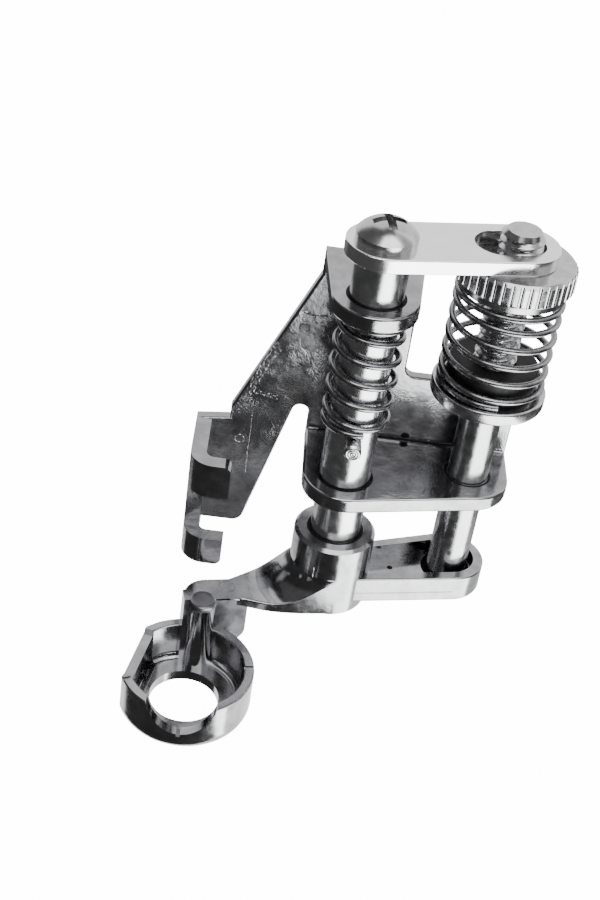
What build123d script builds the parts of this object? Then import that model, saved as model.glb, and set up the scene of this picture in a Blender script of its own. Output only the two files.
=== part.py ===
"""Spring-action ruler-quilting presser foot. Millimetres; X right, Y back, Z up.

The origin is where the needle's axis meets the sole. Two upright rods stand behind and to the right of the
needle: a sliding rod that carries the foot, and a fixed stud with a nut that sets the foot's height.
"""
from build123d import *
import os
from math import cos, pi, radians, sin

os.makedirs("parts", exist_ok=True)

# Running gaps, on the radius unless they say otherwise
ROD_GAP = 0.05
THREAD_GAP = 0.05
SLOT_GAP = 0.20
GUIDE_GAP = 0.50
SPRING_SEAT_GAP = 0.02

# The two rods: where they stand and how thick they are
ROD_X = 12.3
ROD_Y = 10.1
ROD_SPACING = 12.0
ROD_LINE_ANGLE = 13.0
ROD_DIA = 4.8
ROD_END_CHAMFER = 0.3
STUD_DIA = 3.9
STUD_TIP_CHAMFER = 0.45
STUD_ABOVE_LINK = 1.3
STUD_BELOW_SHELF = 12.2

# Foot: hub, guide arm, flat arm
ARM_HEIGHT = 8.0
HUB_DIA = 7.8
HUB_HEIGHT = 7.75
HUB_RIM_CHAMFER = 0.3
HUB_LEAD_IN = 0.3
ARM_THICK = 1.05
ARM_ROOT_FILLET = 1.2
FOOT_EDGE = 0.2
FLAT_ARM_END = 2.95
FLAT_ARM_CORNER = 2.3
FLAT_ARM_NECK = 7.4
FLAT_ARM_ROOT = 3.2
FLAT_ARM_SPREAD = 3.7
GUIDE_ARM_RISE = 1.0
GUIDE_ARM_HEIGHT = 2.8
GUIDE_ARM_WALL = 1.0
GUIDE_ARM_FLOOR = 1.2
GUIDE_END_RADIUS = 3.55
GUIDE_ROOT_FRONT = 3.3
GUIDE_ROOT_BACK = 1.9

# Foot: cup round the needle
RING_DIA = 12.7
RING_WALL = 0.95
RIM_HEIGHT = 5.2
FLOOR_THICK = 1.05
FLOOR_FILLET = 0.7
SOLE_EDGE_RADIUS = 1.6
NEEDLE_HOLE_DIA = 6.6
FLAT_DIRECTION = 169.0
FLAT_DISTANCE = 5.26
FLAT_DROP = 0.4
SCOOP_RADIUS = 3.35
SCOOP_FLOOR = 2.45
MARK_WIDTH = 0.35
MARK_DEPTH = 0.3
RIGHT_MARK_ANGLE = 6.0
LEFT_MARK_ANGLE = 207.0
RIM_EDGE = 0.15

# Foot: post that joins the cup to the flat arm
POST_THICK = 1.5
POST_LENGTH = 6.2
POST_SETBACK = 4.7
COLUMN_RADIUS = 1.3
COLUMN_OFFSET = 1.75
COLUMN_DROP = 0.3
WEB_FOOT_HEIGHT = 3.6
WEB_CORNER_RADIUS = 1.5

# Bracket: plate, shelf and ear
PLATE_BEHIND_ROD = 6.8
PLATE_THICK = 1.2
LIFT_ROOM = 4.7
SHELF_THICK = 1.55
SHELF_MARGIN = 3.9
EAR_RISE = 17.8
EAR_THICK = 1.5
EAR_RADIUS = 3.9
PLATE_EAR_HALF = 4.55
WING_RISE = 7.25
WING_CORNER_RADIUS = 0.9
ARM_SHOULDER_RISE = 16.9
ROOT_FILLET = 0.45
ROOT_SINK = 0.05
BRACKET_EDGE = 0.25

# Bracket: slanted arm and the clamp on the presser bar
CLAMP_LEFT = 14.5
CLAMP_LENGTH = 4.0
CLAMP_WALL = 1.5
CLAMP_DEPTH = 6.1
CLAMP_CORNER_RADIUS = 2.3
CLAMP_INNER_RADIUS = 0.8
CLAMP_HEIGHT = 11.7
CLAMP_BELOW_SHELF = 0.4
UPPER_JAW_HEIGHT = 3.7
LOWER_JAW_HEIGHT = 3.0
JAW_TIP_RADIUS = 0.7
ARM_FOOT_WIDTH = 5.4
ARM_FOOT_DROP = 0.4
ARM_FOOT_RADIUS = 1.2
ARM_STEP = 3.2
ARM_STEP_RISE = 1.3
NOTCH_WIDTH = 1.55
NOTCH_RISE = 1.8

# Stud collar, nut and its spring
COLLAR_RISE = 9.15
COLLAR_DIA = 10.5
COLLAR_THICK = 1.25
COLLAR_EDGE = 0.22
BUSHING_GAP = 0.25
BUSHING_HEIGHT = 2.5
BUSHING_EDGE = 0.3
NUT_DIA = 10.6
NUT_HEIGHT = 2.85
NUT_SKIRT_DIA = 9.7
NUT_SKIRT_HEIGHT = 0.6
NUT_CHAMFER = 0.3
KNURL_FLUTES = 42
KNURL_RADIUS = 0.22
NUT_SPRING_LENGTH = 10.1
NUT_SPRING_DIA = 9.9
NUT_SPRING_WIRE = 0.6
NUT_SPRING_TURNS = 4.6
NUT_SPRING_END_ANGLE = -98.0
CLOSED_PITCH = 1.1
COIL_STEPS = 12

# Link plate and its screw
LINK_THICK = 1.35
LINK_RADIUS = 3.45
LINK_SLOT_RUN = 2.0
LINK_EDGE = 0.12
SCREW_DIA = 3.0
SCREW_LENGTH = 6.0
SCREW_HEAD_DIA = 5.4
SCREW_HEAD_HEIGHT = 2.05
SCREW_HEAD_RIM = 0.7
RECESS_SPAN = 2.9
RECESS_WIDTH = 0.75
RECESS_DEPTH = 1.0

# Cross pin and the rod's spring
PIN_RISE = 5.4
PIN_DIA = 1.6
PIN_LENGTH = 8.4
PIN_CHAMFER = 0.2
ROD_SPRING_DIA = 6.4
ROD_SPRING_WIRE = 0.6
ROD_SPRING_TURNS = 4.3
ROD_SPRING_END_ANGLE = -75.0

# Grub screw in the back of the hub
SET_SCREW_DIA = 2.6
SET_SCREW_HEIGHT = 4.2
SET_SCREW_SLOT = 0.5
SET_SCREW_SLOT_DEPTH = 0.6

# Heights, from the sole up
HUB_TOP = ARM_HEIGHT + HUB_HEIGHT
SHELF_BOTTOM = HUB_TOP + LIFT_ROOM
SHELF_TOP = SHELF_BOTTOM + SHELF_THICK
EAR_BOTTOM = SHELF_TOP + EAR_RISE
EAR_TOP = EAR_BOTTOM + EAR_THICK
COLLAR_BOTTOM = SHELF_TOP + COLLAR_RISE
COLLAR_TOP = COLLAR_BOTTOM + COLLAR_THICK
NUT_BOTTOM = COLLAR_TOP + NUT_SPRING_LENGTH
LINK_BOTTOM = NUT_BOTTOM + NUT_HEIGHT
LINK_TOP = LINK_BOTTOM + LINK_THICK
STUD_TOP = LINK_TOP + STUD_ABOVE_LINK
STUD_BOTTOM = SHELF_BOTTOM - STUD_BELOW_SHELF
PIN_HEIGHT = SHELF_TOP + PIN_RISE
CLAMP_TOP = SHELF_TOP - CLAMP_BELOW_SHELF
CLAMP_BOTTOM = CLAMP_TOP - CLAMP_HEIGHT
GUIDE_BOTTOM = ARM_HEIGHT + GUIDE_ARM_RISE
GUIDE_TOP = GUIDE_BOTTOM + GUIDE_ARM_HEIGHT

# Places in plan
LINE_COS = cos(radians(ROD_LINE_ANGLE))
LINE_SIN = sin(radians(ROD_LINE_ANGLE))
STUD_X = ROD_X + ROD_SPACING * LINE_COS
STUD_Y = ROD_Y + ROD_SPACING * LINE_SIN
PLATE_Y = ROD_Y + PLATE_BEHIND_ROD
CLAMP_X = ROD_X - CLAMP_LEFT
RING_X = -(ROD_X * LINE_COS + ROD_Y * LINE_SIN)
RING_Y = ROD_X * LINE_SIN - ROD_Y * LINE_COS
ROD_FRAME = Pos(ROD_X, ROD_Y, 0) * Rot(0, 0, ROD_LINE_ANGLE)
STUD_FRAME = ROD_FRAME * Pos(ROD_SPACING, 0, 0)


def upright(radius, bottom, top):
    """A round bar about the Z axis between two heights."""
    return extrude(Pos(0, 0, bottom) * Circle(radius), top - bottom)


def slab(sketch, bottom, top):
    """A flat outline in plan made solid between two heights."""
    return extrude(Pos(0, 0, bottom) * sketch, top - bottom)


def block(x0, x1, y0, y1, z0, z1):
    """A box between two corners."""
    return Pos((x0 + x1) / 2, (y0 + y1) / 2, (z0 + z1) / 2) * Box(x1 - x0, y1 - y0, z1 - z0)


def eased(slab_solid, radius):
    """An upright slab with its upper and lower edges rounded."""
    levels = slab_solid.edges().group_by(Axis.Z)
    return fillet(levels[0] + levels[-1], radius)


def outline(*points):
    """A closed face through a few corner points."""
    return make_face(Polyline(*points, close=True))


def coil(diameter, wire, bottom, top, turns, end_angle):
    """A left-hand compression spring with one closed turn at each end."""
    radius = (diameter - wire) / 2
    closed = wire * CLOSED_PITCH
    pitch = (top - bottom - wire - 2 * closed) / turns
    steps = round((turns + 2) * COIL_STEPS)
    points = []
    for step in range(steps + 1):
        turn = (turns + 2) * step / steps
        opened = min(max(turn - 1, 0), turns)
        height = bottom + wire / 2 + closed * (turn - opened) + pitch * opened
        angle = radians(end_angle) - 2 * pi * turn
        points.append((radius * cos(angle), radius * sin(angle), height))
    path = Spline(*points)
    return sweep(Plane(origin=path @ 0, z_dir=path % 0) * Circle(wire / 2), path=path)


def shelf_plan():
    """The shelf: round about each rod in front, and out to the plate behind."""
    nose = ROD_FRAME * Pos(ROD_SPACING / 2, 0) * SlotCenterToCenter(ROD_SPACING, 2 * SHELF_MARGIN)
    left = ROD_X - SHELF_MARGIN
    right = STUD_X + SHELF_MARGIN
    back = PLATE_Y + PLATE_THICK / 2
    return nose + outline((left, ROD_Y), (right, STUD_Y), (right, back), (left, back))


def ear_plan():
    """The ear: round about the sliding rod in front, and out to the plate behind."""
    back = PLATE_Y + PLATE_THICK / 2
    sides = outline((ROD_X - EAR_RADIUS, ROD_Y), (ROD_X + EAR_RADIUS, ROD_Y),
                    (ROD_X + PLATE_EAR_HALF, back), (ROD_X - PLATE_EAR_HALF, back))
    return Pos(ROD_X, ROD_Y) * Circle(EAR_RADIUS) + sides


def back_plate():
    """The plate behind the rods, with its slanted arm down to the clamp."""
    left = ROD_X - PLATE_EAR_HALF
    right = ROD_X + PLATE_EAR_HALF
    wing = STUD_X + SHELF_MARGIN
    edge = ROD_X - SHELF_MARGIN
    foot = CLAMP_BOTTOM - ARM_FOOT_DROP
    foot_right = CLAMP_X + ARM_FOOT_WIDTH
    notch_top = SHELF_TOP + NOTCH_RISE
    slant = (edge - NOTCH_WIDTH - foot_right) / (notch_top - foot)
    apex = notch_top + NOTCH_WIDTH / slant
    step = CLAMP_X + ARM_STEP
    wing_top = SHELF_TOP + WING_RISE
    step_top = SHELF_TOP + ARM_STEP_RISE
    shoulder = SHELF_TOP + ARM_SHOULDER_RISE
    face = outline((left, EAR_TOP), (right, EAR_TOP), (right, wing_top), (wing, wing_top),
                   (wing, SHELF_BOTTOM), (edge, SHELF_BOTTOM), (edge, apex), (foot_right, foot),
                   (CLAMP_X, foot), (CLAMP_X, CLAMP_TOP), (step, SHELF_TOP), (step, step_top),
                   (left, shoulder))

    def corner(x, z):
        return face.vertices().sort_by_distance((x, z, 0))[0]

    face = fillet(corner(right, wing_top), WING_CORNER_RADIUS)
    face = fillet(corner(edge, apex), NOTCH_WIDTH / 2)
    face = fillet(corner(foot_right, foot), ARM_FOOT_RADIUS)
    plate = extrude(Plane.XZ.offset(-PLATE_Y) * face, -PLATE_THICK)
    sides = plate.faces().sort_by(Axis.Y)
    return fillet(sides[0].edges() + sides[-1].edges(), BRACKET_EDGE)


def clamp():
    """The C-shaped hook on the presser bar: a side wall and two jaws with a gap between them."""
    front = PLATE_Y - CLAMP_DEPTH - CLAMP_WALL
    inner = PLATE_Y - CLAMP_DEPTH
    back = PLATE_Y + PLATE_THICK / 2
    right = CLAMP_X + CLAMP_LENGTH
    plan = outline((CLAMP_X, front), (right, front), (right, back), (CLAMP_X, back))
    plan = fillet(plan.vertices().sort_by_distance((CLAMP_X, front, 0))[0], CLAMP_CORNER_RADIUS)
    side = CLAMP_X + CLAMP_WALL
    beyond = right + CLAMP_WALL
    hollow = outline((side, inner), (beyond, inner), (beyond, back), (side, back))
    hollow = fillet(hollow.vertices().sort_by_distance((side, inner, 0))[0], CLAMP_INNER_RADIUS)
    hook = slab(plan - hollow, CLAMP_BOTTOM, CLAMP_TOP)
    tips = hook.edges().filter_by(Axis.Y).group_by(Axis.X)[-1]
    hook = fillet(tips, JAW_TIP_RADIUS)
    slot_back = inner + CLAMP_INNER_RADIUS
    gap_bottom = CLAMP_BOTTOM + LOWER_JAW_HEIGHT
    gap_top = CLAMP_TOP - UPPER_JAW_HEIGHT
    return hook - block(CLAMP_X, right, front, slot_back, gap_bottom, gap_top)


def shelf_root():
    """The rounded root where the shelf runs up into the plate."""
    near = PLATE_Y - ROOT_FILLET
    far = PLATE_Y + ROOT_SINK
    low = SHELF_TOP - ROOT_SINK
    high = SHELF_TOP + ROOT_FILLET
    profile = outline((near, low), (far, low), (far, high), (near, high))
    profile = profile - Pos(near, high) * Circle(ROOT_FILLET)
    left = ROD_X - SHELF_MARGIN + BRACKET_EDGE
    right = STUD_X + SHELF_MARGIN - BRACKET_EDGE
    return extrude(Plane.YZ.offset(left) * profile, right - left)


def mounting_bracket():
    """The die-cast bracket in one piece."""
    shelf = eased(slab(shelf_plan(), SHELF_BOTTOM, SHELF_TOP), BRACKET_EDGE)
    ear = eased(slab(ear_plan(), EAR_BOTTOM, EAR_TOP), BRACKET_EDGE)
    body = back_plate() + shelf + shelf_root() + ear + clamp()
    rod_bore = Pos(ROD_X, ROD_Y) * upright(ROD_DIA / 2 + ROD_GAP, SHELF_BOTTOM, EAR_TOP)
    stud_bore = Pos(STUD_X, STUD_Y) * upright(STUD_DIA / 2, SHELF_BOTTOM, SHELF_TOP)
    return body - rod_bore - stud_bore


def height_stud():
    """The fixed rod: plain below, a collar under the nut's spring, threaded above."""
    radius = STUD_DIA / 2
    collar = COLLAR_DIA / 2
    tip = radius - STUD_TIP_CHAMFER
    profile = outline((0, STUD_BOTTOM), (tip, STUD_BOTTOM), (radius, STUD_BOTTOM + STUD_TIP_CHAMFER),
                      (radius, COLLAR_BOTTOM), (collar, COLLAR_BOTTOM), (collar, COLLAR_TOP),
                      (radius, COLLAR_TOP), (radius, STUD_TOP - STUD_TIP_CHAMFER), (tip, STUD_TOP),
                      (0, STUD_TOP))
    corners = profile.vertices().sort_by(Axis.X)[-2:]
    profile = fillet(corners, COLLAR_EDGE)
    return STUD_FRAME * revolve(Plane.XZ * profile, Axis.Z)


def spring_bushing():
    """The soft ring on the collar that the nut's spring closes on."""
    outer = NUT_SPRING_DIA / 2 - NUT_SPRING_WIRE - BUSHING_GAP
    top = COLLAR_TOP + BUSHING_HEIGHT
    ring = upright(outer, COLLAR_TOP, top)
    ring = fillet(ring.edges().group_by(Axis.Z)[-1], BUSHING_EDGE)
    return STUD_FRAME * (ring - upright(STUD_DIA / 2 + THREAD_GAP, COLLAR_TOP, top))


def presser_rod():
    """The sliding rod, drilled for the cross pin and tapped for the link screw."""
    rod = upright(ROD_DIA / 2, ARM_HEIGHT, LINK_BOTTOM)
    rod = chamfer(rod.edges().filter_by(GeomType.CIRCLE), ROD_END_CHAMFER)
    tapped = upright(SCREW_DIA / 2, LINK_TOP - SCREW_LENGTH, LINK_BOTTOM)
    return Pos(ROD_X, ROD_Y) * (rod - tapped - cross_pin_bar())


def cross_pin_bar():
    """The pin's bar, lying front to back through the rod's axis."""
    return Pos(0, 0, PIN_HEIGHT) * Rot(90, 0, 0) * Cylinder(PIN_DIA / 2, PIN_LENGTH)


def spring_pin():
    """The cross pin under the rod's spring, with eased ends."""
    pin = cross_pin_bar()
    return Pos(ROD_X, ROD_Y) * chamfer(pin.edges().filter_by(GeomType.CIRCLE), PIN_CHAMFER)


def presser_spring():
    """The spring between the ear and the cross pin."""
    bottom = PIN_HEIGHT + PIN_DIA / 2 + SPRING_SEAT_GAP
    top = EAR_BOTTOM - SPRING_SEAT_GAP
    spring = coil(ROD_SPRING_DIA, ROD_SPRING_WIRE, bottom, top, ROD_SPRING_TURNS, ROD_SPRING_END_ANGLE)
    return Pos(ROD_X, ROD_Y) * spring


def link_plate():
    """The plate that joins the rod's top to the stud, with a slot round the stud."""
    plan = Pos(ROD_SPACING / 2, 0) * SlotCenterToCenter(ROD_SPACING, 2 * LINK_RADIUS)
    slot_width = STUD_DIA + 2 * SLOT_GAP
    slot = Pos(ROD_SPACING - LINK_SLOT_RUN / 2, 0) * SlotCenterToCenter(LINK_SLOT_RUN, slot_width)
    hole = Circle(SCREW_DIA / 2 + ROD_GAP)
    return ROD_FRAME * eased(slab(plan - slot - hole, LINK_BOTTOM, LINK_TOP), LINK_EDGE)


def link_screw():
    """The pan-head screw with a cross recess."""
    crown = LINK_TOP + SCREW_HEAD_HEIGHT
    radius = SCREW_HEAD_DIA / 2
    dome_height = SCREW_HEAD_HEIGHT - SCREW_HEAD_RIM
    dome = (radius ** 2 + dome_height ** 2) / (2 * dome_height)
    head = upright(radius, LINK_TOP, crown) & Pos(0, 0, crown - dome) * Sphere(dome)
    shank = upright(SCREW_DIA / 2, LINK_TOP - SCREW_LENGTH, LINK_TOP)
    cross = Rectangle(RECESS_SPAN, RECESS_WIDTH) + Rectangle(RECESS_WIDTH, RECESS_SPAN)
    recess = slab(Rot(0, 0, ROD_LINE_ANGLE) * cross, crown - RECESS_DEPTH, crown)
    return Pos(ROD_X, ROD_Y) * (head + shank - recess)


def height_nut():
    """The knurled nut, with a plain skirt that sits in the spring."""
    knurl = Circle(NUT_DIA / 2) - PolarLocations(NUT_DIA / 2, KNURL_FLUTES) * Circle(KNURL_RADIUS)
    grip = slab(knurl, NUT_BOTTOM + NUT_SKIRT_HEIGHT, LINK_BOTTOM)
    cone = upright(NUT_DIA / 2, NUT_BOTTOM + NUT_SKIRT_HEIGHT, LINK_BOTTOM)
    cone = chamfer(cone.edges().filter_by(GeomType.CIRCLE), NUT_CHAMFER)
    skirt = upright(NUT_SKIRT_DIA / 2, NUT_BOTTOM, NUT_BOTTOM + NUT_SKIRT_HEIGHT)
    bore = upright(STUD_DIA / 2 + THREAD_GAP, NUT_BOTTOM, LINK_BOTTOM)
    return STUD_FRAME * ((grip & cone) + skirt - bore)


def nut_spring():
    """The wide spring between the stud's collar and the nut."""
    bottom = COLLAR_TOP + SPRING_SEAT_GAP
    top = NUT_BOTTOM - SPRING_SEAT_GAP
    spring = coil(NUT_SPRING_DIA, NUT_SPRING_WIRE, bottom, top, NUT_SPRING_TURNS, NUT_SPRING_END_ANGLE)
    return STUD_FRAME * spring


def guide_arm_plan():
    """The arm from the hub to the stud, wider at the stud."""
    end = GUIDE_END_RADIUS
    sides = outline((0, -GUIDE_ROOT_FRONT), (ROD_SPACING, -end), (ROD_SPACING, end), (0, GUIDE_ROOT_BACK))
    return sides + Pos(ROD_SPACING, 0) * Circle(GUIDE_END_RADIUS)


def flat_arm_plan():
    """The flat arm from the hub to the post, waisted in front, with a rounded corner behind the post."""
    hub = HUB_DIA / 2
    front = RING_Y + POST_SETBACK
    back = front + FLAT_ARM_END
    waist = RING_X + POST_LENGTH - POST_THICK
    neck = Bezier((0, -hub), (-FLAT_ARM_NECK, -hub), (-FLAT_ARM_NECK, front), (waist, front))
    rest = Polyline((waist, front), (RING_X, front), (RING_X, back), (waist, back),
                    (-FLAT_ARM_ROOT, FLAT_ARM_SPREAD), (0, hub), (0, -hub))
    plan = make_face([neck, *rest.edges()])
    return fillet(plan.vertices().sort_by_distance((RING_X, back, 0))[0], FLAT_ARM_CORNER)


def cup():
    """The cup round the needle: a tall rim with one flat side, open in front, and a holed floor."""
    radius = RING_DIA / 2
    far = Pos(FLAT_DISTANCE + radius, 0) * Rectangle(2 * radius, 4 * radius)
    near = Pos(FLAT_DISTANCE - RING_WALL + radius, 0) * Rectangle(2 * radius, 4 * radius)
    outer = Circle(radius) - Rot(0, 0, FLAT_DIRECTION) * far
    inner = Circle(radius - RING_WALL) - Rot(0, 0, FLAT_DIRECTION) * near
    body = slab(outer, 0, RIM_HEIGHT)
    body = fillet(body.edges().group_by(Axis.Z)[0], SOLE_EDGE_RADIUS)
    hollow = slab(inner, FLOOR_THICK, RIM_HEIGHT)
    hollow = fillet(hollow.edges().group_by(Axis.Z)[0], FLOOR_FILLET)
    shell = body - hollow
    shell = fillet(shell.edges().group_by(Axis.Z)[-1], RIM_EDGE)
    hole = upright(NEEDLE_HOLE_DIA / 2, 0, FLOOR_THICK)
    scoop = Pos(0, -radius, SCOOP_FLOOR + SCOOP_RADIUS) * Rot(90, 0, 0) * Cylinder(SCOOP_RADIUS, 2 * radius)
    half = MARK_WIDTH / 2
    mark = block(0, radius, -half, half, RIM_HEIGHT - MARK_DEPTH, RIM_HEIGHT)
    front_mark = block(-half, half, -radius, 0, SCOOP_FLOOR - MARK_DEPTH, RIM_HEIGHT)
    chord = ((radius - RING_WALL) ** 2 - (FLAT_DISTANCE - RING_WALL) ** 2) ** 0.5
    step = block(FLAT_DISTANCE - RING_WALL, radius, -chord, chord, RIM_HEIGHT - FLAT_DROP, RIM_HEIGHT)
    rim_marks = Rot(0, 0, RIGHT_MARK_ANGLE) * mark + Rot(0, 0, LEFT_MARK_ANGLE) * mark
    return shell - hole - scoop - rim_marks - front_mark - Rot(0, 0, FLAT_DIRECTION) * step


def post():
    """The post between cup and flat arm: a wall with a half-round column in front of it."""
    front = RING_Y + POST_SETBACK
    left = RING_X
    right = left + POST_LENGTH
    back = front + POST_THICK
    web = block(left, right, front, back, WEB_FOOT_HEIGHT, ARM_HEIGHT + ARM_THICK)
    web = fillet(web.edges().filter_by(Axis.Y).group_by(Axis.Z)[0].sort_by(Axis.X)[-1], WEB_CORNER_RADIUS)
    root = block(left, right, front, back, FLOOR_THICK / 2, WEB_FOOT_HEIGHT)
    root = root & Pos(RING_X, RING_Y) * upright((RING_DIA - RING_WALL) / 2, 0, WEB_FOOT_HEIGHT)
    column = upright(COLUMN_RADIUS, FLOOR_THICK / 2, ARM_HEIGHT + ARM_THICK - COLUMN_DROP)
    return web + root + Pos(left + COLUMN_OFFSET, front) * column


def quilting_foot():
    """The cast foot: hub, guide arm, flat arm, post and cup."""
    hub = upright(HUB_DIA / 2, ARM_HEIGHT, HUB_TOP)
    hub = chamfer(hub.edges().filter_by(GeomType.CIRCLE).sort_by(Axis.Z)[-1], HUB_RIM_CHAMFER)
    flat_arm = slab(flat_arm_plan(), ARM_HEIGHT, ARM_HEIGHT + ARM_THICK)
    rims = flat_arm.edges().filter_by(Axis.Z, reverse=True)
    flat_arm = fillet(rims.filter_by_position(Axis.X, RING_X - HUB_DIA, -FOOT_EDGE), FOOT_EDGE)
    guide_arm = eased(slab(guide_arm_plan(), GUIDE_BOTTOM, GUIDE_TOP), FOOT_EDGE)
    pocket = slab(offset(guide_arm_plan(), -GUIDE_ARM_WALL), GUIDE_BOTTOM + GUIDE_ARM_FLOOR, GUIDE_TOP)
    guide_hole = Pos(ROD_SPACING, 0) * upright(STUD_DIA / 2 + GUIDE_GAP, GUIDE_BOTTOM, GUIDE_TOP)
    bore_radius = ROD_DIA / 2 + ROD_GAP
    lead_in = Cone(bore_radius, bore_radius + HUB_LEAD_IN, HUB_LEAD_IN)
    bore = upright(bore_radius, ARM_HEIGHT, HUB_TOP) + Pos(0, 0, HUB_TOP - HUB_LEAD_IN / 2) * lead_in
    body = (guide_arm - pocket - guide_hole) + hub + flat_arm + hub_flare() + post()
    body = ROD_FRAME * (body - bore - set_screw_bar())
    return body + cup()


def hub_flare():
    """The rounded root where the flat arm runs up into the hub."""
    low = ARM_HEIGHT + ARM_THICK
    high = low + ARM_ROOT_FILLET
    reach = HUB_DIA / 2 + ARM_ROOT_FILLET
    profile = outline((0, low), (reach, low), (reach, high), (0, high))
    profile = profile - Pos(reach, high) * Circle(ARM_ROOT_FILLET)
    arm = slab(flat_arm_plan(), low, high)
    return revolve(Plane.XZ * profile, Axis.Z) & Pos(0, FOOT_EDGE) * arm & Pos(0, -FOOT_EDGE) * arm


def set_screw_bar():
    """The grub screw's bar, from the rod's face out through the back of the hub."""
    start = ROD_DIA / 2
    length = HUB_DIA / 2 - start
    lie = Pos(0, start + length / 2, ARM_HEIGHT + SET_SCREW_HEIGHT) * Rot(90, 0, 0)
    return lie * Cylinder(SET_SCREW_DIA / 2, length)


def foot_set_screw():
    """The slotted grub screw that holds the foot on the rod."""
    end = HUB_DIA / 2
    height = ARM_HEIGHT + SET_SCREW_HEIGHT
    slot = block(-SET_SCREW_DIA, SET_SCREW_DIA, end - SET_SCREW_SLOT_DEPTH, end,
                 height - SET_SCREW_SLOT / 2, height + SET_SCREW_SLOT / 2)
    return ROD_FRAME * (set_screw_bar() - slot)


PIECES = {
    "mounting_bracket": mounting_bracket,
    "height_stud": height_stud,
    "spring_bushing": spring_bushing,
    "presser_rod": presser_rod,
    "spring_pin": spring_pin,
    "presser_spring": presser_spring,
    "link_plate": link_plate,
    "link_screw": link_screw,
    "height_nut": height_nut,
    "nut_spring": nut_spring,
    "quilting_foot": quilting_foot,
    "foot_set_screw": foot_set_screw,
}

for name, make in PIECES.items():
    export_step(make(), f"parts/{name}.step")
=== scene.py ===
"""Dressed scene of a spring-action quilting presser foot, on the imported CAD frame, in metres."""

import logging
import math
from dataclasses import dataclass, field
from enum import Enum

import bpy
import numpy as np
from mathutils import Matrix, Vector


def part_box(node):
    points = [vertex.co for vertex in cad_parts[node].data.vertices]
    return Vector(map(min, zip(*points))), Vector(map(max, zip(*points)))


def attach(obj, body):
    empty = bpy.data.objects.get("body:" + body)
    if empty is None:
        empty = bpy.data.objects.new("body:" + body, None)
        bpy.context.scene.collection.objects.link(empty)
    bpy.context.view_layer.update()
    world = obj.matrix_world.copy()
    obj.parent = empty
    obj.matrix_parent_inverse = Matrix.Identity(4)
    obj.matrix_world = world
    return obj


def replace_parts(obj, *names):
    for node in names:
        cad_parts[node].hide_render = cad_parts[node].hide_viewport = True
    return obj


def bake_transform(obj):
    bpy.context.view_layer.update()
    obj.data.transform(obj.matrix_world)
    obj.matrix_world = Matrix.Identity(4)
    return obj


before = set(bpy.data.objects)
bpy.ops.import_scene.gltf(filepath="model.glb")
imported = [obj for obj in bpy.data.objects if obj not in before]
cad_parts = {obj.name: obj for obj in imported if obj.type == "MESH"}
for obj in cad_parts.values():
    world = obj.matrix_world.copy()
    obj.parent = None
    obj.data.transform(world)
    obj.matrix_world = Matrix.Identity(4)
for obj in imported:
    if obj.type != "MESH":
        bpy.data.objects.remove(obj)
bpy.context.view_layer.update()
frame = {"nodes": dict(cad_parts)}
MM = 1e-3
UP = np.array([0.0, 0.0, 1.0])
FRONT = np.array([0.0, -1.0, 0.0])
LOG = logging.getLogger("quilting_foot")

Pair = tuple[float, float]
Triple = tuple[float, float, float]
Surface = tuple[np.ndarray, np.ndarray]

# An edge sharper than this angle in degrees is a crease.
CREASE = 35.0
# A ridge: the step along it in millimetres, the points across it and the share of its height under the face.
BEAD_STEP = 0.12
BEAD_POINTS = 7
BEAD_SUNK = 0.25
# Rough skin: its step and its shortest and longest wave in millimetres, how many waves, and the share sunk.
SKIN_STEP = 0.04
SKIN_LENGTHS = (0.15, 0.5)
SKIN_WAVES = 9
SKIN_SUNK = 0.2
# A spot: the points round it, the rings in it, and the last ring's share of the radius.
SPOT_POINTS = 40
SPOT_RINGS = 8
SPOT_MIDDLE = 0.02
# The points round a ring of painted shade.
SHADE_RING_POINTS = 96


class Grain(Enum):
    """How the surface under the plating was made."""

    CAST = "cast"
    TURNED = "turned"
    ROLLED = "rolled"
    DRAWN = "drawn"


# Where the patches of a finish turn from one colour, and from one gloss, to the other.
TINT_EDGES = (0.35, 0.65)
GLOSS_EDGES = (0.3, 0.7)
# The grit of a casting that is not polished: where it starts and is full, its height, how much wider than the
# patches it spreads, how much finer than the pits it is, the roughness that it adds, and the depth in
# millimetres over which it sets in.
GRIT_EDGES = (0.50, 0.62)
GRIT_HEIGHT = 2.5
GRIT_SPREAD = 2.2
GRIT_FINER = 3.0
GRIT_ROUGHNESS = 0.05
GRIT_DEPTH = 0.1
# The scale of a grain's fine lines along X, Y and Z: the smaller the number, the longer they are drawn out.
GRAIN_LINES = {Grain.TURNED: (0.02, 0.02, 1.0), Grain.ROLLED: (0.04, 1.0, 1.0),
               Grain.DRAWN: (1.0, 1.0, 1.0)}


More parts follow.
